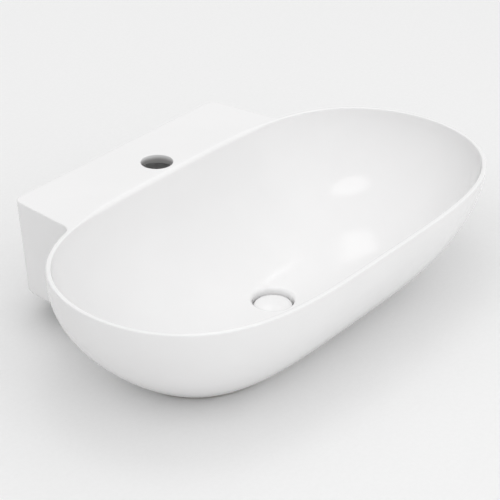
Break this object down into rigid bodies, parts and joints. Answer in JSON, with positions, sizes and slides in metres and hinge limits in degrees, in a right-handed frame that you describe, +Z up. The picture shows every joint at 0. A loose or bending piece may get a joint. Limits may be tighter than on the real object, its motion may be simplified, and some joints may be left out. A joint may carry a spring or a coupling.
{
  "type": "countertop basin",
  "caption": "Oval countertop washbasin in glazed ceramic with a hollow rear tap ledge, a tap hole and a push-open waste under a matching cap.",
  "frame": {"origin": "on the waste's axis, in the plane of the worktop that the foot stands on", "axes": "+Z up, +X to the right as seen from the front, +Y towards the wall behind the tap ledge"},
  "size_m": [0.56, 0.37, 0.235],
  "materials": {
    "glazed_white": "gloss",
    "cap_glaze": "gloss",
    "chromed_brass": "polished",
    "bare_brass": "machined",
    "black_rubber": "matte",
    "white_plastic": "satin",
    "spring_steel": "bright wire"
  },
  "bodies": {
    "root": {"basin": "glazed_white", "waste_body": "chromed_brass", "flange_gasket": "black_rubber", "cartridge_housing": "white_plastic", "cartridge_spring": "spring_steel", "cartridge_end_cap": "white_plastic", "under_washer": "black_rubber", "slip_washer": "white_plastic", "backnut": "bare_brass", "tail_seal": "black_rubber", "tail_pipe": "chromed_brass"},
    "plug": {"plug_cap": "cap_glaze", "cap_core": "bare_brass", "cap_seal": "black_rubber", "plunger": "bare_brass", "latch_ring": "white_plastic"}
  },
  "joints": [
    {"name": "plug_lift", "type": "slide", "parent": "root", "child": "plug", "axis": [0, 0, 1], "range_m": [0, 0.012], "deforming": ["cartridge_spring"]}
  ]
}
